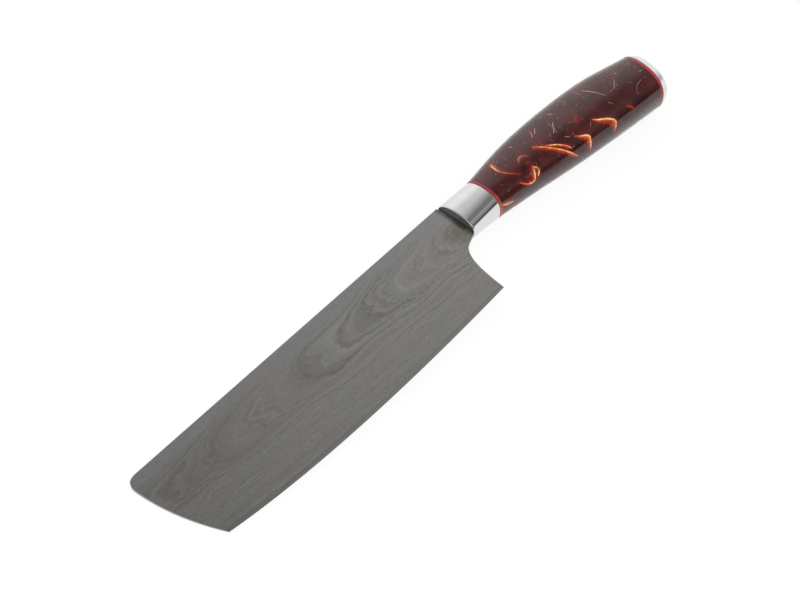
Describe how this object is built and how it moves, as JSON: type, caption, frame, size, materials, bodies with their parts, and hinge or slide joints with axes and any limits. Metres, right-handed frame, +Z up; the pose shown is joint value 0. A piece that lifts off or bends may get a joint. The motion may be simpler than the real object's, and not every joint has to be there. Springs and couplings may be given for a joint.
{
  "type": "vegetable chopping knife",
  "caption": "Straight-edged vegetable chopping knife with a pattern-welded blade on a hidden tang, a polished bolster and end cap, and a red resin handle holding copper shavings.",
  "frame": {"origin": "middle of the footprint, on the surface that the knife lies on", "axes": "+X from the blade's front to the butt, +Y from the cutting edge to the spine, +Z up through the blade's side. The knife lies on the blade's front and the handle's belly, so the blade slopes down to the front by about 2 degrees"},
  "size_m": [0.3056, 0.0512, 0.0237],
  "materials": {
    "blade_steel": "etched pattern-welded steel, semi-matt",
    "polished_steel": "mirror-polished stainless steel",
    "plain_steel": "bright turned steel",
    "red_spacer": "glossy red sheet plastic",
    "resin": "polished, deep red translucent cast resin",
    "copper": "bright curled copper swarf"
  },
  "bodies": {
    "root": {"blade": "blade_steel", "bolster": "polished_steel", "front_spacer": "red_spacer", "handle": "resin", "rear_spacer": "red_spacer", "end_cap": "polished_steel", "tang_stud": "plain_steel", "stud_washer": "plain_steel", "stud_nut": "plain_steel", "cap_pin_upper": "plain_steel", "cap_pin_lower": "plain_steel", "copper_shaving_01": "copper", "copper_shaving_02": "copper", "copper_shaving_03": "copper", "copper_shaving_04": "copper", "copper_shaving_05": "copper", "copper_shaving_06": "copper", "copper_shaving_07": "copper", "copper_shaving_08": "copper", "copper_shaving_09": "copper", "copper_shaving_10": "copper", "copper_shaving_11": "copper", "copper_shaving_12": "copper", "copper_shaving_13": "copper", "copper_shaving_14": "copper", "copper_shaving_15": "copper", "copper_shaving_16": "copper", "copper_shaving_17": "copper", "copper_shaving_18": "copper", "copper_shaving_19": "copper", "copper_shaving_20": "copper", "copper_shaving_21": "copper", "copper_shaving_22": "copper"}
  },
  "joints": []
}
